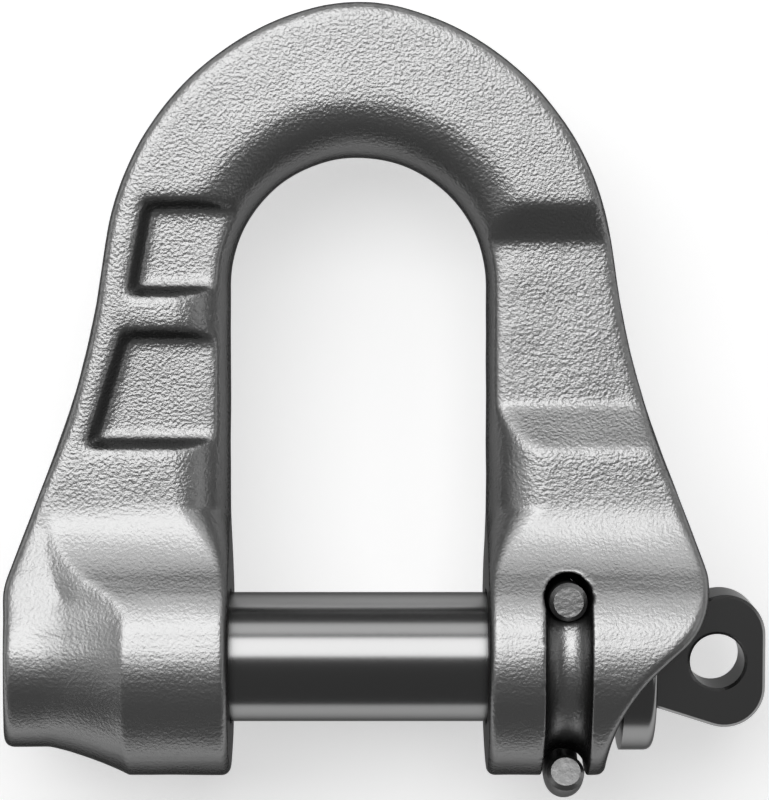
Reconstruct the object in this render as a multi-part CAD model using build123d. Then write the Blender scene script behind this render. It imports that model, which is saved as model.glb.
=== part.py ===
"""A D shackle with a locked load pin, lying on its back: +X along the load pin towards
its eye tab, +Y from the load pin to the crown of the bow, +Z out of the front face.
The origin is on the load pin's axis, midway between the two lugs. Millimetres."""
from build123d import *
from math import asin, atan, cos, degrees, hypot, radians, sin, sqrt, tan
import os

# Load pin, a turned shaft with a collar
pin_radius = 8.0
pin_tail = 9.8
pin_end_chamfer = 1.5
collar_radius = 11.5
collar_thickness = 4.0
collar_edge_radius = 1.0

# Eye tab, forged flat on the end of the load pin
tab_reach = 13.8
tab_thickness = 8.0
tab_root_half_width = 5.65
tab_flare_angle = 17.6
tab_corner_radius = 5.0
tab_edge_chamfer = 0.35
tab_turn_angle = 4.5
eye_radius = 3.35
eye_from_tip = 5.9

# Bow, a half circle on two parallel legs inside
jaw_half_width = 15.8
bow_centre_y = 46.05
bow_half_thickness = 7.6
saddle_radius = 7.3
crown_y = 81.0
crown_arc_radius = 23.0
shoulder_arc_radius = 35.2
crown_arc_end = 73.55
neck_slope = 8.0
neck_length = 15.35
neck_blend_length = 11.4
hip_y = 8.9
hip_radius = 8.0
flank_draft = 5.0
rim_radius = 1.2

# Lugs, with the closed boss on the left one
lug_radius = 14.6
lug_blend_radius = 16.0
lug_edge_radius = 1.1
run_out_excess = 1.2
run_out_steps = 3
corner_bite = 0.02
left_lug_width = 13.3
left_lug_slope = 26.6
left_lug_hollow_radius = 20.0
left_lug_slope_sink = 0.25
boss_step = 3.45
boss_length = 14.8
boss_blend_radius = 28.0
gusset_slope = 32.0
gusset_start_y = 4.5
gusset_ridge_step = 1.4
pin_bore_gap = 0.25
pin_bore_end_gap = 1.0

# Hood on the right lug, round the load pin's head
right_lug_width = 14.6
hood_reach = 12.9
hood_height = 6.46
hood_corner_radius = 10.5
hood_slope = 42.0
hood_hollow_radius = 20.0
hood_bore_gap = 0.5
collar_seat_depth = 16.1
collar_seat_gap = 0.3

# Locking clip, a bent wire
wire_radius = 2.3
clip_depth = 9.5
clip_leg_sink = 2.3
clip_bow_rise = 0.45
clip_bend_radius = 5.0
clip_tip_angle = 26.0
clip_end_chamfer = 0.5
clip_hole_radius = 2.95
clip_hole_gap = 0.1
pin_groove_gap = 0.2
groove_half_width = 2.8
groove_depth = 3.3

# Recesses in both faces of the legs
recess_floor_z = 4.4
recess_top_y = 55.7
recess_floor_top_y = 51.2
recess_floor_bottom_y = 31.2
recess_bottom_y = 25.7
pocket_floor_z = 4.9
pocket_wall_draft = 27.0
pocket_land = 3.9
recess_edge_radius = 1.0
upper_pocket_y = (44.4, 56.4)
lower_pocket_y = (25.8, 40.5)

# Places that follow from the sizes
left_lug_end_x = -jaw_half_width - left_lug_width
boss_end_x = left_lug_end_x - boss_length
boss_radius = lug_radius - boss_step
hip_half_width = -boss_end_x
right_lug_end_x = jaw_half_width + right_lug_width
hood_end_x = right_lug_end_x + hood_reach
pin_end_x = left_lug_end_x - pin_tail
collar_seat_x = jaw_half_width + collar_seat_depth
collar_x = collar_seat_x + collar_seat_gap
collar_end_x = collar_x + collar_thickness
tab_tip_x = collar_end_x + tab_reach
clip_x = jaw_half_width + clip_depth
clip_hole_y = pin_radius
clip_leg_y = clip_hole_y - clip_hole_radius + clip_hole_gap + wire_radius
clip_leg_front_z = lug_radius - clip_leg_sink
clip_bow_radius = lug_radius + clip_bow_rise
groove_floor_radius = lug_radius - groove_depth
lug_blend_z = bow_half_thickness + lug_blend_radius
lug_blend_y = sqrt((lug_radius + lug_blend_radius)**2 - lug_blend_z**2)
lug_turn = degrees(asin(lug_blend_z / (lug_radius + lug_blend_radius)))
beyond = 10.0
just_past = 1.0
across = (-hip_half_width - beyond, hip_half_width + beyond)
touching = 0.005

# Each shoulder arc carries on from the crown arc and ends where the neck's slope begins.
# The neck bends into the straight flare, which runs down to the hip.
crown_centre = Vector(0, crown_y - crown_arc_radius)
arc_difference = shoulder_arc_radius - crown_arc_radius
shoulder_centre = crown_centre - Vector(arc_difference, 0).rotate(Axis.Z, crown_arc_end)
shoulder_end = shoulder_centre + Vector(shoulder_arc_radius, 0).rotate(Axis.Z, neck_slope)
neck_y = shoulder_end.Y - neck_length
neck_rate = tan(radians(neck_slope))
neck_half_width = shoulder_end.X + neck_rate * (shoulder_end.Y - neck_y)
flare_rate = (hip_half_width - neck_half_width) / (neck_y - hip_y)
neck_radius = neck_blend_length / tan((atan(flare_rate) - radians(neck_slope)) / 2)


def half_width(y):
    """Half width of the legs' outline at height y."""
    if y > shoulder_end.Y:
        return shoulder_centre.X + sqrt(shoulder_arc_radius**2 - (y - shoulder_centre.Y)**2)
    rate = neck_rate if y > neck_y else flare_rate
    return neck_half_width + rate * (neck_y - y)


def block(x, y, z):
    """A box from its (low, high) pairs."""
    return Pos(x[0], y[0], z[0]) * Box(x[1] - x[0], y[1] - y[0], z[1] - z[0], align=Align.MIN)


def face_of(*lines):
    """The face that touching lines and arcs enclose."""
    return make_face([edge for line in lines for edge in line.edges()])


def front_outline():
    """The body seen from the front, with the inside of the bow still filled."""
    right_hip_y = hip_y + (hip_half_width - hood_end_x) / flare_rate
    hood_corner_y = right_hip_y - hood_height
    hollow_y = hood_corner_y - hood_reach * tan(radians(hood_slope))
    low_y = -lug_radius - beyond
    crown = CenterArc(crown_centre, crown_arc_radius, crown_arc_end, 180 - 2 * crown_arc_end)
    shoulder = CenterArc(shoulder_centre, shoulder_arc_radius, neck_slope, crown_arc_end - neck_slope)
    right_side = FilletPolyline(
        (shoulder_end.X, shoulder_end.Y),
        (neck_half_width, neck_y),
        (hood_end_x, right_hip_y),
        (hood_end_x, hood_corner_y),
        (right_lug_end_x, hollow_y),
        (right_lug_end_x, low_y),
        radius=[neck_radius, hip_radius, hood_corner_radius, hood_hollow_radius],
    )
    left_side = FilletPolyline(
        (-shoulder_end.X, shoulder_end.Y),
        (-neck_half_width, neck_y),
        (boss_end_x, hip_y),
        (boss_end_x, low_y),
        radius=[neck_radius, hip_radius],
    )
    bottom = Line((boss_end_x, low_y), (right_lug_end_x, low_y))
    return face_of(crown, shoulder, mirror(shoulder, Plane.YZ), right_side, left_side, bottom)


def lug_profile(round_radius, blend_radius):
    """The front half of a lug and of the leg that it blends into, seen along the load pin."""
    reach = round_radius + blend_radius
    blend_z = bow_half_thickness + blend_radius
    blend_centre = Vector(sqrt(reach**2 - blend_z**2), blend_z)
    turn = degrees(asin(blend_z / reach))
    lug = CenterArc((0, 0), round_radius, turn, 180 - turn)
    blend = CenterArc(blend_centre, blend_radius, 180 + turn, 90 - turn)
    leg = Polyline(
        (blend_centre.X, bow_half_thickness),
        (crown_y + beyond, bow_half_thickness),
        (crown_y + beyond, 0),
        (-round_radius, 0),
    )
    return Plane.YZ * face_of(lug, blend, leg)


def along_x(face, start, end):
    """A face drawn at X = 0, swept from start to end."""
    return Pos(start, 0, 0) * extrude(face, end - start)


def bow_opening():
    """The inside of the bow and the jaw between the lugs."""
    low_y = -lug_radius - beyond
    legs = Pos(0, (bow_centre_y + low_y) / 2) * Rectangle(2 * jaw_half_width, bow_centre_y - low_y)
    return extrude(Pos(0, bow_centre_y) * Circle(jaw_half_width) + legs, lug_radius + beyond)


def on_saddle(edge):
    """True for the front edges that run round the inside of the bow."""
    middle = edge @ 0.5
    on_leg = abs(abs(middle.X) - jaw_half_width) < touching and middle.Y < bow_centre_y
    on_crown = abs(hypot(middle.X, middle.Y - bow_centre_y) - jaw_half_width) < touching
    return abs(middle.Z - bow_half_thickness) < touching and (on_leg or on_crown)


def corner_section(place, outwards, radius):
    """The outline that rounds the corner between the jaw face and the lug's surface. It
    bites a little into both, so that it crosses them instead of only touching them."""
    section_plane = Plane(place, x_dir=(1, 0, 0), z_dir=Vector(1, 0, 0).cross(outwards))
    inset = radius - corner_bite
    past = 2 * lug_edge_radius
    arc = CenterArc((inset, -inset), radius, 90, 90)
    around = Polyline(
        (-corner_bite, -inset),
        (-past, -inset),
        (-past, past),
        (inset, past),
        (inset, corner_bite),
    )
    return section_plane * face_of(arc, around)


def saddle_run_out():
    """Rounds the right leg's inner corner where it meets the lug: the round of the saddle
    shrinks along the blend until it is the small round of the lug's edge."""
    sections = []
    for step in range(run_out_steps + 1):
        share = step / run_out_steps
        angle = radians(180 + lug_turn + share * (90 - lug_turn))
        outwards = Vector(0, -cos(angle), -sin(angle))
        place = Vector(jaw_half_width, lug_blend_y, lug_blend_z) - outwards * lug_blend_radius
        growth = share**2 * (saddle_radius + run_out_excess - lug_edge_radius)
        sections.append(corner_section(place, outwards, lug_edge_radius + growth))
    return loft(sections)


def lug_edge_round():
    """Rounds the edge of the right lug's jaw face, from one run-out round to the other."""
    outwards = Vector(0, cos(radians(lug_turn)), sin(radians(lug_turn)))
    start = Vector(jaw_half_width, 0, 0) + outwards * lug_radius
    return revolve(corner_section(start, outwards, lug_edge_radius), Axis.X, 360 - 2 * lug_turn)


def rim_edges(solid):
    """The edges between the drafted flanks and what lies in front of them."""
    tilt = sin(radians(flank_draft))
    flanks = [face for face in solid.faces() if abs(abs(face.normal_at().Z) - tilt) < touching]
    edges = [edge for face in flanks for edge in face.edges() if (edge @ 0.5).Z > touching]
    return [edge for edge in edges if edges.count(edge) == 1]


def left_lug_step(outline):
    """The front half of the left lug where it stands proud of the boss: a full round, and
    a gusset that follows the leg up and falls off towards the flank."""
    profile = lug_profile(lug_radius, lug_blend_radius)
    round_part = along_x(profile, -jaw_half_width, left_lug_end_x)
    gusset_ridge_z = lug_radius - gusset_ridge_step
    fall = tan(radians(gusset_slope)) * boss_length
    roof = Polyline(
        (left_lug_end_x, 0),
        (left_lug_end_x, gusset_ridge_z),
        (boss_end_x, gusset_ridge_z - fall),
        (boss_end_x, 0),
        close=True,
    )
    under_roof = extrude(Plane.XZ * face_of(roof), -lug_blend_y)
    gusset = along_x(profile, boss_end_x, left_lug_end_x) & under_roof
    gusset -= block((boss_end_x, left_lug_end_x), (-beyond, gusset_start_y), (0, lug_radius))
    below_leg = block((boss_end_x, 0), (-lug_radius, lug_blend_y), (0, lug_radius))
    return (round_part + gusset) & below_leg & outline


def pocket(y_range):
    """A drafted pocket beside the left leg's rim, open into the saddle."""
    low_y, high_y = y_range
    corners = Polyline(
        (pocket_land - half_width(low_y), low_y),
        (pocket_land - half_width(high_y), high_y),
        (-jaw_half_width / 2, high_y),
        (-jaw_half_width / 2, low_y),
        close=True,
    )
    depth = bow_half_thickness - pocket_floor_z
    return extrude(Pos(0, 0, bow_half_thickness) * face_of(corners), -depth, taper=pocket_wall_draft)


def recess():
    """The flat across the right leg, with a slope at each end."""
    depth = bow_half_thickness - recess_floor_z
    past = 1 + beyond / depth
    above_z = bow_half_thickness + beyond
    profile = Polyline(
        (recess_floor_top_y, recess_floor_z),
        (recess_floor_top_y + past * (recess_top_y - recess_floor_top_y), above_z),
        (recess_floor_bottom_y - past * (recess_floor_bottom_y - recess_bottom_y), above_z),
        (recess_floor_bottom_y, recess_floor_z),
        close=True,
    )
    return along_x(Plane.YZ * face_of(profile), jaw_half_width / 2, hip_half_width + beyond)


def ease_recess(solid):
    """Rounds the foot of the recess's two slopes, then the lip, which runs all round it."""
    for y, z in (
        (recess_floor_top_y, recess_floor_z),
        (recess_floor_bottom_y, recess_floor_z),
        (recess_bottom_y, bow_half_thickness),
    ):
        level = solid.edges().filter_by(Axis.X)
        nearest = level.sort_by(lambda edge: hypot((edge @ 0).Y - y, (edge @ 0).Z - z))[0]
        solid = fillet(nearest, recess_edge_radius)
    return solid


def front_half():
    """Everything in front of the parting plane, before the bores."""
    outline = extrude(front_outline(), lug_radius + just_past, taper=flank_draft)
    opening = bow_opening()
    bow = (outline & block(across, (0, crown_y + beyond), (0, bow_half_thickness))) - opening
    bow = fillet(bow.edges().filter_by(on_saddle), saddle_radius)
    lugs = along_x(lug_profile(boss_radius, boss_blend_radius), -jaw_half_width, across[0])
    lugs += along_x(lug_profile(lug_radius, lug_blend_radius), jaw_half_width, across[1])
    lugs = lugs & outline & block(across, (-lug_radius - beyond, lug_blend_y), (0, lug_radius + beyond))
    run_out = saddle_run_out()
    corners = opening + run_out + mirror(run_out, Plane.YZ)
    half = bow + (lugs - corners)
    half = fillet(rim_edges(half), rim_radius)
    half += left_lug_step(outline) - corners
    return ease_recess(half - recess()) - pocket(upper_pocket_y) - pocket(lower_pocket_y)


def left_lug_shoulder():
    """The slope round the left lug from its full round down to the boss."""
    foot_x = left_lug_end_x - boss_step / tan(radians(left_lug_slope))
    inner_end_x = boss_end_x + 2 * rim_radius
    slope = FilletPolyline(
        (left_lug_end_x, lug_radius),
        (foot_x, boss_radius),
        (inner_end_x, boss_radius - left_lug_slope_sink),
        radius=left_lug_hollow_radius,
    )
    rest = Polyline(
        (inner_end_x, boss_radius - left_lug_slope_sink),
        (inner_end_x, 0),
        (left_lug_end_x, 0),
        (left_lug_end_x, lug_radius),
    )
    return revolve(face_of(slope, rest), Axis.X)


def clip_groove():
    """The round-bottomed groove that runs from the front of the clip's hole, under the
    lug, to the back of the hole."""
    centre_radius = groove_floor_radius + groove_half_width
    start_angle = degrees(asin(clip_hole_y / centre_radius))
    radial = Vector(0, sin(radians(start_angle)), cos(radians(start_angle)))
    section = Pos(clip_x, centre_radius) * Circle(groove_half_width)
    section += Pos(clip_x, centre_radius + beyond / 2) * Rectangle(2 * groove_half_width, beyond)
    start = Plane((0, 0, 0), x_dir=(1, 0, 0), z_dir=Vector(1, 0, 0).cross(radial))
    return revolve(start * section, Axis.X, 180 + 2 * start_angle)


def shackle_body():
    half = front_half()
    body = half + mirror(half, Plane.XY) + left_lug_shoulder()
    edge_round = lug_edge_round()
    body = body - edge_round - mirror(edge_round, Plane.YZ)
    bore_end_x = pin_end_x - pin_bore_end_gap
    body -= along_x(Plane.YZ * Circle(pin_radius + pin_bore_gap), bore_end_x, collar_seat_x)
    body -= along_x(Plane.YZ * Circle(collar_radius + hood_bore_gap), collar_seat_x, across[1])
    body -= Pos(clip_x, clip_hole_y, 0) * Cylinder(clip_hole_radius, 2 * (lug_radius + beyond))
    return body - clip_groove()


def load_pin():
    flare = tan(radians(tab_flare_angle))
    root_x = collar_x + collar_thickness / 2
    tip_half_width = tab_root_half_width + flare * tab_reach
    root_half_width = tab_root_half_width - flare * (collar_end_x - root_x)
    tab = FilletPolyline(
        (root_x, root_half_width),
        (tab_tip_x, tip_half_width),
        (tab_tip_x, -tip_half_width),
        (root_x, -root_half_width),
        radius=tab_corner_radius,
    )
    root = Line((root_x, -root_half_width), (root_x, root_half_width))
    tab = extrude(face_of(tab, root), tab_thickness / 2, both=True)
    tab -= Pos(tab_tip_x - eye_from_tip, 0) * Cylinder(eye_radius, 2 * tab_thickness)
    faces = tab.faces().filter_by(Axis.Z)
    tab = chamfer(faces.edges().filter_by(lambda edge: (edge @ 0.5).X > collar_end_x), tab_edge_chamfer)
    shaft = along_x(Plane.YZ * Circle(pin_radius), pin_end_x, collar_x)
    shaft = chamfer(shaft.edges().sort_by(Axis.X)[0], pin_end_chamfer)
    collar = along_x(Plane.YZ * Circle(collar_radius), collar_x, collar_end_x)
    collar = fillet(collar.edges().sort_by(Axis.X)[-1], collar_edge_radius)
    groove_radius = wire_radius + pin_groove_gap
    groove = revolve(Pos(clip_x, clip_leg_y) * Circle(groove_radius), Axis.X)
    return shaft - groove + collar + Rot(tab_turn_angle, 0, 0) * tab


def locking_clip():
    bend_y = clip_leg_y - clip_bend_radius
    bend_z = -sqrt((clip_bow_radius - clip_bend_radius)**2 - bend_y**2)
    turn = degrees(asin(-bend_z / (clip_bow_radius - clip_bend_radius)))
    leg = Line((clip_leg_y, clip_leg_front_z), (clip_leg_y, bend_z))
    bend = CenterArc((bend_y, bend_z), clip_bend_radius, 0, -turn)
    bow = CenterArc((0, 0), clip_bow_radius, -turn, turn - 180 - clip_tip_angle)
    path = Plane.YZ.offset(clip_x) * Wire([*leg.edges(), *bend.edges(), *bow.edges()])
    section = Plane((clip_x, clip_leg_y, clip_leg_front_z), z_dir=(0, 0, -1)) * Circle(wire_radius)
    clip = sweep(section, path)
    ends = clip.faces().filter_by(lambda face: face.geom_type == GeomType.PLANE)
    return chamfer(ends.edges(), clip_end_chamfer)


os.makedirs("parts", exist_ok=True)
for name, solid in (
    ("shackle_body", shackle_body()),
    ("load_pin", load_pin()),
    ("locking_clip", locking_clip()),
):
    print(name, solid.is_valid, len(solid.solids()), round(solid.volume, 1), solid.bounding_box())
    export_step(solid, f"parts/{name}.step")
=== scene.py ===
import math
import bpy
import numpy as np
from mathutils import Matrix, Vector, noise


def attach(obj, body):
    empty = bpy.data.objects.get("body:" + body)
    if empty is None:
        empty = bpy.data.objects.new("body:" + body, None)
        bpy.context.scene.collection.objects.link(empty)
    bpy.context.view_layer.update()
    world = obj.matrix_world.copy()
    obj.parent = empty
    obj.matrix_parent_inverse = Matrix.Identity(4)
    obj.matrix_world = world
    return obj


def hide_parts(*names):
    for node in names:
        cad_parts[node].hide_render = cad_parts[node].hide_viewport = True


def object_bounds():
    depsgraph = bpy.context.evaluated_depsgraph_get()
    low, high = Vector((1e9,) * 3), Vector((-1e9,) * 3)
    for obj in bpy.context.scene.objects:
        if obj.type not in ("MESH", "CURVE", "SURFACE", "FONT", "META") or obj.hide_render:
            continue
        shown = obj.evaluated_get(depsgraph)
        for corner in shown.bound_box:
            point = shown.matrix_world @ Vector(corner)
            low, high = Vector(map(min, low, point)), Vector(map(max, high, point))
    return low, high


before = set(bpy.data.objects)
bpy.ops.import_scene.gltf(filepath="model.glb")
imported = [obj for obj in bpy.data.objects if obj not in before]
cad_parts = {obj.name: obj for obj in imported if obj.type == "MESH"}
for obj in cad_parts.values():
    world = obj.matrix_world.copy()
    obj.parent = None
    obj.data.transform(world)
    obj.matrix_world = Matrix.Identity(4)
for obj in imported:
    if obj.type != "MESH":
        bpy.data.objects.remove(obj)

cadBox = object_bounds()
mm = 0.001


# helpers

def linearColour(hexColour):
    channels = [int(hexColour[i:i + 2], 16) / 255 for i in (1, 3, 5)]
    linear = [c / 12.92 if c <= 0.04045 else ((c + 0.055) / 1.055) ** 2.4 for c in channels]
    return (*linear, 1.0)


def addNode(tree, kind, sockets=None, **settings):
    # a socket takes a plain value, another node's output, or a node for its first output
    node = tree.nodes.new("ShaderNode" + kind)
    for name, value in settings.items():
        setattr(node, name, value)
    for key, value in (sockets or {}).items():
        if isinstance(value, bpy.types.Node):
            value = value.outputs[0]
        if isinstance(value, bpy.types.NodeSocket):
            tree.links.new(value, node.inputs[key])
        else:
            node.inputs[key].default_value = value
    return node


def newMaterial(name):
    material = bpy.data.materials.new(name)
    material.use_nodes = True
    material.node_tree.nodes.clear()
    return material, material.node_tree


def finishSteel(tree, look, height, colour):
    # bare metal shows what it mirrors, so its roughness and its small bumps make the finish
    skin = addNode(tree, "Bump", {"Height": height, "Distance": 1.0, "Strength": 1.0})
    steel = addNode(tree, "BsdfPrincipled", {
        "Base Color": colour,
        "Specular Tint": linearColour(look["edgeTint"]),
        "Metallic": 1.0,
        "Roughness": look["roughness"],
        "Normal": skin,
    })
    addNode(tree, "OutputMaterial", {"Surface": steel})


def dress(nodeName, material):
    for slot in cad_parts[nodeName].material_slots:
        slot.material = material


def addObject(name, data):
    item = bpy.data.objects.new(name, data)
    bpy.context.collection.objects.link(item)
    return item


def fade(values, start, end):
    # 0 up to start, 1 from end on, and an even slope between
    return np.clip((values - start) / (end - start), 0, 1)


# shot-blasted stainless steel: a cast skin hammered by shot, which gives it a grey satin
# grain. The legs and the bow carry coarse pits, while the lugs and the inside of the bow
# came out finer

blasted = {
    "colour": "#aeaeae",
    "sideShadeColour": "#7c7c7c",         # painted shade: the sides take this darker colour, in place of the dark they would mirror: fully up to this much of the normal on Z, while none is left from this much on
    "sideOn": 0.50,                  # keep their dark scale: up to this much of the normal on Z,
    "squareOn": 0.90,                # while none is left from this much on
    "edgeTint": "#484848",           # rough steel mirrors little at a glancing angle
    "roughness": 0.36,
    "pitWidth": 0.38 * mm,
    "pitDepth": 0.112 * mm,
    "pitLayers": 1.5,
    "pitCrispness": 0.45,
    "lugGrain": 0.45,                # the lugs' share of the pits' depth
    "fineWidth": 0.28 * mm,          # real grit marks are finer than a pixel
    "fineDepth": 0.018 * mm,
    "fineLayers": 2.0,
    "fineCrispness": 0.6,
    "waveWidth": 7.0 * mm,
    "waveDepth": 0.10 * mm,
    "waveLayers": 1.0,
    "lugTop": 17.5 * mm,             # the lugs' fine skin ends at this height,
    "legBottom": 22.5 * mm,          # and the legs' coarse one is full from here
    "jawHalfWidth": 15.8 * mm,
    "bowCentre": 46.05 * mm,
    "saddleFine": 0.73 * mm,         # so far out from the inside of the bow the skin is fine,
    "saddleCoarse": 5.84 * mm,       # and from here on it is coarse
}


def blastedSteel():
    b = blasted
    material, tree = newMaterial("shotBlastedSteel")
    coordinates = addNode(tree, "TexCoord").outputs
    place = coordinates["Object"]
    axes = addNode(tree, "SeparateXYZ", {0: place}).outputs

    # how far a point lies from the middle of the bow, or from the middle line of the legs
    overCentre = addNode(tree, "Math", {0: axes["Y"], 1: b["bowCentre"]}, operation="SUBTRACT")
    pastCentre = addNode(tree, "Math", {0: overCentre, 1: 0.0}, operation="MAXIMUM")
    outwards = addNode(tree, "CombineXYZ", {"X": axes["X"], "Y": pastCentre})
    fromMiddle = addNode(tree, "VectorMath", {0: outwards}, operation="LENGTH")
    outOfSaddle = addNode(tree, "MapRange", {
        "Value": fromMiddle.outputs["Value"],
        "From Min": b["jawHalfWidth"] + b["saddleFine"],
        "From Max": b["jawHalfWidth"] + b["saddleCoarse"],
    })
    onLeg = addNode(tree, "MapRange", {
        "Value": axes["Y"], "From Min": b["lugTop"], "From Max": b["legBottom"],
    })
    coarse = addNode(tree, "Math", {0: onLeg, 1: outOfSaddle}, operation="MULTIPLY")
    pitDepth = addNode(tree, "MapRange", {
        "Value": coarse, "To Min": b["lugGrain"] * b["pitDepth"], "To Max": b["pitDepth"],
    })

    pits = addNode(tree, "TexNoise", {
        "Vector": place, "Scale": 1 / b["pitWidth"],
        "Detail": b["pitLayers"], "Roughness": b["pitCrispness"],
    })
    fine = addNode(tree, "TexNoise", {
        "Vector": place, "Scale": 1 / b["fineWidth"],
        "Detail": b["fineLayers"], "Roughness": b["fineCrispness"],
    })
    waves = addNode(tree, "TexNoise", {
        "Vector": place, "Scale": 1 / b["waveWidth"], "Detail": b["waveLayers"],
    })
    height = addNode(tree, "Math", {0: waves, 1: b["waveDepth"]}, operation="MULTIPLY")
    height = addNode(tree, "Math", {0: fine, 1: b["fineDepth"], 2: height}, operation="MULTIPLY_ADD")
    height = addNode(tree, "Math", {0: pits, 1: pitDepth, 2: height}, operation="MULTIPLY_ADD")

    # painted shade: faces turned to the sides are coloured darker, in place of the dark surroundings
    # they would mirror
    facing = addNode(tree, "SeparateXYZ", {0: coordinates["Normal"]}).outputs["Z"]
    toFrontOrBack = addNode(tree, "Math", {0: facing}, operation="ABSOLUTE")
    unshadedShare = addNode(tree, "MapRange", {
        "Value": toFrontOrBack, "From Min": b["sideOn"], "From Max": b["squareOn"],
    })
    sideShadedColour = addNode(tree, "Mix", {
        0: unshadedShare, 6: linearColour(b["sideShadeColour"]), 7: linearColour(b["colour"]),
    }, data_type="RGBA")
    finishSteel(tree, b, height, sideShadedColour.outputs[2])
    return material


# turned stainless steel: the load pin comes off the lathe, with fine rings round its axis
# that keep its highlights in long even bands

turned = {
    "colour": "#989898",
    "edgeTint": "#808080",
    "roughness": 0.20,
    "ringPitch": 0.30 * mm,          # real feed marks are finer than a pixel
    "ringChanges": 60.0,             # to the metre, on the way round a ring
    "ringDepth": 0.0012 * mm,
    "ringLayers": 2.0,
}


def turnedSteel():
    t = turned
    material, tree = newMaterial("turnedSteel")
    place = addNode(tree, "TexCoord").outputs["Object"]
    spread = (1 / t["ringPitch"], t["ringChanges"], t["ringChanges"])
    rolled = addNode(tree, "Mapping", {"Vector": place, "Scale": spread})
    rings = addNode(tree, "TexNoise", {"Vector": rolled, "Scale": 1.0, "Detail": t["ringLayers"]})
    height = addNode(tree, "Math", {0: rings, 1: t["ringDepth"]}, operation="MULTIPLY")
    finishSteel(tree, t, height, linearColour(t["colour"]))
    return material


# drawn spring wire: dull, with a mottled skin that breaks up its highlights

wire = {
    "colour": "#9c9c9c",
    "edgeTint": "#606060",
    "roughness": 0.36,
    "mottleWidth": 0.8 * mm,
    "mottleDepth": 0.070 * mm,
    "mottleLayers": 2.0,
}


def springWire():
    w = wire
    material, tree = newMaterial("springWire")
    place = addNode(tree, "TexCoord").outputs["Object"]
    mottle = addNode(tree, "TexNoise", {
        "Vector": place, "Scale": 1 / w["mottleWidth"], "Detail": w["mottleLayers"],
    })
    height = addNode(tree, "Math", {0: mottle, 1: w["mottleDepth"]}, operation="MULTIPLY")
    finishSteel(tree, w, height, linearColour(w["colour"]))
    return material


# the body's cast skin: the solid's own surface, laid out in even small faces, with its
# edges worn round by the shot and the surface left a little uneven, as cast steel is

def neighbourMean(points, edges, counts):
    near, far = edges.T
    total = [
        np.bincount(near, points[far, k], len(points)) + np.bincount(far, points[near, k], len(points))
        for k in range(3)
    ]
    return np.stack(total, axis=1) / counts[:, None]


def soften(points, normals, edges, places, plan):
    # moves points along their normals, towards the middle of their neighbours. Places says
    # how much each one takes part
    weights = plan["share"] * places
    chosen = np.flatnonzero(weights > 0)
    around = edges[(weights[edges] > 0).any(axis=1)]
    kept, numbers = np.unique(np.concatenate([around.ravel(), chosen]), return_inverse=True)
    around = numbers[:around.size].reshape(-1, 2)
    part, partNormals, share = points[kept], normals[kept], weights[kept]
    counts = np.maximum(np.bincount(around.ravel(), minlength=len(part)), 1)
    for step in range(plan["rounds"]):
        move = neighbourMean(part, around, counts) - part
        outwards = np.clip(np.einsum("ij,ij->i", move, partNormals), plan["leastMove"], None)
        part = part + partNormals * (share * outwards)[:, None]
    points[kept] = part


# the hollow on the boss, beside the left lug's step, is filled up

hollow = {
    "rounds": 1400,
    "share": 0.9,
    "leastMove": 0.0,                # points only move out, so that the step's own edge stays
    "ridgeX": -29.6 * mm,            # the step's ridge stands here,
    "leanFrom": 5.0 * mm,            # and from this height up it leans out over the boss
    "leanSide": (-0.755, -0.66),     # the way from the leaning ridge to the boss
    "leanAhead": 0.75 * mm,
    "softFrom": 5.0 * mm,            # a soft hollow is left below this height,
    "softTo": 9.0 * mm,              # and hardly any above this one
    "softBelow": 1.8 * mm,
    "softAbove": 0.3 * mm,
    "boss": (-43.2 * mm, -42.2 * mm),                # pairs from here down are the two ends
    "top": (26.0 * mm, 20.0 * mm),                   # of a fade
    "bottom": (2.5 * mm, 7.5 * mm),
    "face": (5.5 * mm, 7.5 * mm),
}


def besideStep(points):
    # 1 over the boss side of the step, 0 away from it
    h = hollow
    x, y, z = points.T
    acrossSide, upSide = h["leanSide"]
    pastLeaning = acrossSide * (x - h["ridgeX"]) + upSide * (y - h["leanFrom"]) + h["leanAhead"]
    past = np.minimum(h["ridgeX"] - x, pastLeaning)
    softness = np.interp(y, (h["softFrom"], h["softTo"]), (h["softBelow"], h["softAbove"]))
    onBoss = fade(past, 0, softness) * fade(x, *h["boss"])
    return onBoss * fade(y, *h["top"]) * fade(y, *h["bottom"]) * fade(np.abs(z), *h["face"])


# the shot wore the legs and the bow most, and the left lug's step half as much

wear = {
    "rounds": 28,
    "share": 0.5,
    "leastMove": -1.0 * mm,
    "stepShare": 0.5,
    "legs": (21.0 * mm, 24.0 * mm),
    "step": (-27.0 * mm, -29.0 * mm),
    "stepBottom": (1.0 * mm, 4.0 * mm),
    "face": (3.0 * mm, 5.0 * mm),
}


def worn(points):
    # 1 over the faces of the legs and the bow, less round the step, 0 elsewhere
    w = wear
    x, y, z = points.T
    step = w["stepShare"] * fade(x, *w["step"]) * fade(y, *w["stepBottom"])
    return np.maximum(fade(y, *w["legs"]), step) * fade(np.abs(z), *w["face"])


# the clip's bore is narrower behind the load pin than at its mouth, so that no light shows
# beside the wire

clipBore = {
    "mouthAxis": (25.3 * mm, 8.0 * mm),
    "mouthRadius": 2.95 * mm,
    "wireAxis": (25.3 * mm, 7.45 * mm),
    "radiusBehind": 2.36 * mm,
    "leastReach": 1e-9,              # a point on the axis would divide by zero
    "wall": (1.6 * mm, 0.6 * mm),    # only points this near to the wall move
    "outOfPinBore": (8.5 * mm, 9.5 * mm),
    "behind": (0.0, -1.0 * mm),
}


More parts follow.
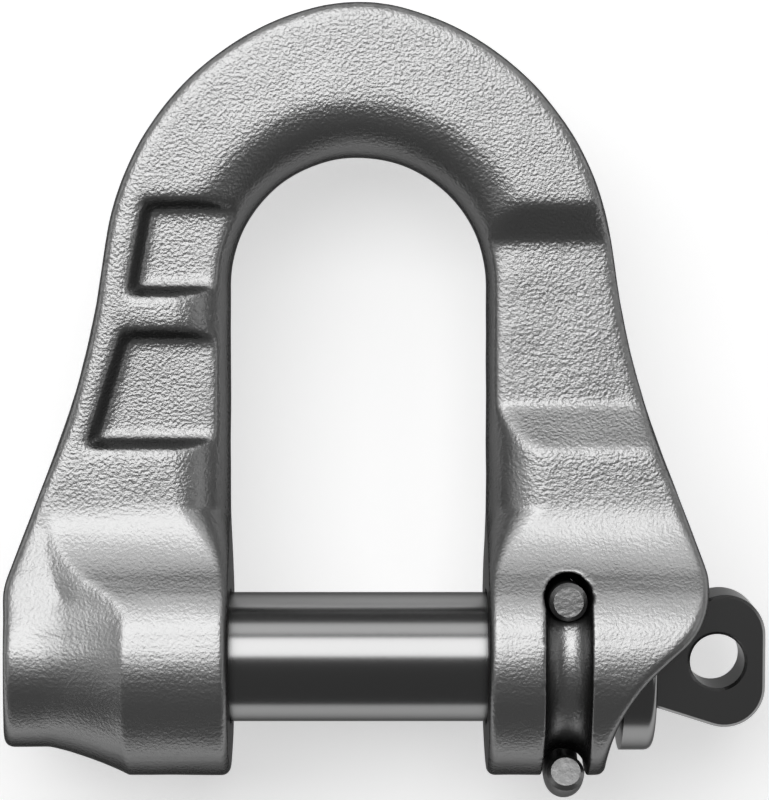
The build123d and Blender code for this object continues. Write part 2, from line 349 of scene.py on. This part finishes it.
def narrowBore(points):
    c = clipBore
    mouthAxis, wireAxis = np.array(c["mouthAxis"]), np.array(c["wireAxis"])
    off = points[:, :2] - mouthAxis
    reach = np.maximum(np.linalg.norm(off, axis=1), c["leastReach"])
    wall = mouthAxis + off / reach[:, None] * c["mouthRadius"]
    fromWire = wall - wireAxis
    bore = wireAxis + fromWire / np.linalg.norm(fromWire, axis=1)[:, None] * c["radiusBehind"]
    nearWall = fade(np.abs(reach - c["mouthRadius"]), *c["wall"])
    outOfPinBore = fade(np.hypot(points[:, 1], points[:, 2]), *c["outOfPinBore"])
    behind = fade(points[:, 2], *c["behind"])
    points[:, :2] += (nearWall * outOfPinBore * behind)[:, None] * (bore - wall)


# both faces of the legs thicken a little as they run into the lugs

swelling = {
    "height": 0.55 * mm,
    "places": (3 * mm, 10 * mm, 17 * mm, 28 * mm),
    "shares": (0, 1, 0.65, 0),
    "face": (3.0 * mm, 5.0 * mm),
    "insideLeft": 9.2 * mm,          # nothing moves within this radius, where the pin's bore is
    "insideRight": 12.6 * mm,        # nor within this one, with the hood and the collar's seat
    "insideFade": 1.5 * mm,
    "besideWire": (2.6 * mm, 3.4 * mm),
}


def swellLegs(points):
    s = swelling
    x, y, z = points.T
    inside = np.where(x > 0, s["insideRight"], s["insideLeft"])
    onFace = fade(np.abs(z), *s["face"]) * fade(np.hypot(y, z), inside, inside + s["insideFade"])
    besideWire = fade(np.abs(x - clipBore["wireAxis"][0]), *s["besideWire"])
    onFace *= np.where(z > 0, 1.0, besideWire)       # behind, the wire lies close in its groove
    points[:, 2] += np.sign(z) * onFace * np.interp(y, s["places"], s["shares"]) * s["height"]


# the left lug's step stands a little nearer to the jaw

lugStep = {
    "x": -29.3 * mm,
    "reach": 5.5 * mm,
    "inwards": 0.85 * mm,
    "top": (24.0 * mm, 16.0 * mm),
}


def moveStep(points):
    s = lugStep
    x, y, z = points.T
    nearStep = np.clip(1 - ((x - s["x"]) / s["reach"]) ** 2, 0, 1) ** 2
    points[:, 0] += nearStep * fade(y, *s["top"]) * s["inwards"]


def arrayOf(items, name, width, kind=float):
    values = np.empty(width * len(items), dtype=kind)
    items.foreach_get(name, values)
    return values.reshape(-1, width)


def applyModifier(name, mesh, kind, **settings):
    carrier = addObject(name, mesh)
    modifier = carrier.modifiers.new(name, kind)
    for setting, value in settings.items():
        setattr(modifier, setting, value)
    graph = bpy.context.evaluated_depsgraph_get()
    result = bpy.data.meshes.new_from_object(carrier.evaluated_get(graph), depsgraph=graph)
    bpy.data.objects.remove(carrier)
    return result


castSkin = {
    "gridWidth": 0.30 * mm,
    "smoothRounds": 10,
    "smoothSteps": (0.5, -0.53),     # a step in and a step back out keep the volume
    "waveWidth": 5.0 * mm,
    "waveHeight": 0.05 * mm,
    "triangles": 198000,
}


def makeSkin():
    c = castSkin
    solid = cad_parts["shackle_body"].data.copy()
    mesh = applyModifier("grid", solid, "REMESH", mode="VOXEL", voxel_size=c["gridWidth"])
    points = arrayOf(mesh.vertices, "co", 3)
    edges = arrayOf(mesh.edges, "vertices", 2, int)
    counts = np.bincount(edges.ravel(), minlength=len(points))
    for smoothing in range(c["smoothRounds"]):
        for share in c["smoothSteps"]:
            points += share * (neighbourMean(points, edges, counts) - points)
    mesh.vertices.foreach_set("co", points.ravel())
    mesh.update()

    normals = arrayOf(mesh.vertices, "normal", 3)
    soften(points, normals, edges, besideStep(points), hollow)
    soften(points, normals, edges, worn(points), wear)
    narrowBore(points)
    swellLegs(points)
    moveStep(points)
    waves = np.array([noise.noise(Vector(point) / c["waveWidth"]) for point in points])
    points += normals * (waves * c["waveHeight"])[:, None]
    mesh.vertices.foreach_set("co", points.ravel())
    mesh.update()

    ratio = c["triangles"] / (2 * len(mesh.polygons))          # each face is two triangles
    thinned = applyModifier("thin", mesh, "DECIMATE", ratio=ratio)
    thinned.polygons.foreach_set("use_smooth", [True] * len(thinned.polygons))
    thinned.materials.clear()
    thinned.materials.append(blastedSteel())
    skin = addObject("castSkin", thinned)
    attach(skin, "shackle")
    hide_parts("shackle_body")
    print("cast skin made,", len(thinned.polygons), "faces")


makeSkin()
dress("load_pin", turnedSteel())
dress("locking_clip", springWire())
print("materials on")


# floor: a pale painted sheet, dull enough to show no mirror image

floorPlan = {
    "colour": "#eeeeee",
    "roughness": 0.9,
    "halfWidth": 3.0,
    "glow": 0.50,
    "glowColour": "#ffffff",
}


def paleFloor():
    f = floorPlan
    material, tree = newMaterial("paleFloor")
    paint = addNode(tree, "BsdfPrincipled", {
        "Base Color": linearColour(f["colour"]), "Roughness": f["roughness"],
    })
    # the camera, metal and glass see a white sheet, which still takes the shadow
    ray = addNode(tree, "LightPath").outputs
    seen = addNode(tree, "Math", {0: ray["Is Camera Ray"], 1: ray["Is Glossy Ray"]}, operation="ADD")
    seen = addNode(tree, "Math", {
        0: seen, 1: ray["Is Transmission Ray"],
    }, operation="ADD", use_clamp=True)
    glow = addNode(tree, "Math", {0: seen, 1: f["glow"]}, operation="MULTIPLY")
    white = addNode(tree, "Emission", {"Color": linearColour(f["glowColour"]), "Strength": glow})
    sheet = addNode(tree, "AddShader", {0: paint, 1: white})
    addNode(tree, "OutputMaterial", {"Surface": sheet})
    return material


def makeFloor(lowest):
    half = floorPlan["halfWidth"]
    corners = [(-half, -half), (half, -half), (half, half), (-half, half)]
    mesh = bpy.data.meshes.new("floor")
    mesh.from_pydata([(x, y, lowest) for x, y in corners], [], [(0, 1, 2, 3)])
    mesh.materials.append(paleFloor())
    addObject("floor", mesh)


makeFloor(cadBox[0][2])
print("floor made")


# studio lights: a big softbox over the crown side, a low wall of light behind it and a weak
# fill at either side. The lower side of the lugs looks into the dark

lamps = {
    "softbox": {
        "tilt": 19.0, "turn": 90.0, "distance": 0.9, "size": (1.0, 0.55), "glow": 2.65, "aside": 0.22,
    },
    "backWall": {"tilt": 54.0, "turn": 90.0, "distance": 1.0, "size": (2.0, 0.38), "glow": 1.15},
    "leftFill": {"tilt": 58.0, "turn": 180.0, "distance": 1.0, "size": (0.8, 0.35), "glow": 0.5},
    "rightFill": {"tilt": 60.0, "turn": 0.0, "distance": 1.0, "size": (0.8, 0.30), "glow": 0.7},
}

studio = {
    "middle": (0.0, 35.0 * mm, 0.0),     # all lamps look at this point or beside it
    "wallColour": "#ffffff",
    "wallGlow": 0.09,
}


def addLight(name, tilt, turn, distance, size, glow, aside=0.0):
    # tilt is measured from straight up, turn from +X round towards +Y. Aside shifts the lamp
    # further round
    lamp = bpy.data.lights.new(name, "AREA")
    lamp.shape = "RECTANGLE"
    lamp.size, lamp.size_y = size
    lamp.energy = glow * math.pi * size[0] * size[1]         # a larger face glows no less
    light = addObject(name, lamp)
    tiltAngle, turnAngle = math.radians(tilt), math.radians(turn)
    out = math.sin(tiltAngle) * distance
    x, y, z = studio["middle"]
    light.location = (
        x + out * math.cos(turnAngle) - aside * math.sin(turnAngle),
        y + out * math.sin(turnAngle) + aside * math.cos(turnAngle),
        z + distance * math.cos(tiltAngle),
    )
    light.rotation_euler = (tiltAngle, 0.0, turnAngle + math.pi / 2)
    light.visible_camera = False


def lightWorld():
    world = bpy.data.worlds.new("studio")
    world.use_nodes = True
    tree = world.node_tree
    tree.nodes.clear()
    dim = addNode(tree, "Background", {
        "Color": linearColour(studio["wallColour"]), "Strength": studio["wallGlow"],
    })
    addNode(tree, "OutputWorld", {"Surface": dim})
    bpy.context.scene.world = world


for lampName, lampPlan in lamps.items():
    addLight(lampName, **lampPlan)
lightWorld()
print("lights on")


# camera: straight above, at the photograph's distance and framing

cameraPlan = {
    "distance": 409 * mm,
    "frameHeight": 99.2 * mm,        # what the frame takes in at the load pin's height
    "frameMiddle": (3.24 * mm, 31.8 * mm),
    "sensor": 36.0,
}


def makeCamera():
    c = cameraPlan
    data = bpy.data.cameras.new("camera")
    data.sensor_fit = "AUTO"         # the sensor lies along the frame's longer side, its height
    data.sensor_width = c["sensor"]
    data.lens = c["sensor"] * c["distance"] / c["frameHeight"]
    data.shift_x = c["frameMiddle"][0] / c["frameHeight"]
    camera = addObject("camera", data)
    camera.location = (0.0, c["frameMiddle"][1], c["distance"])
    bpy.context.scene.camera = camera


makeCamera()
bpy.context.scene.view_settings.view_transform = "Standard"
print("camera set")
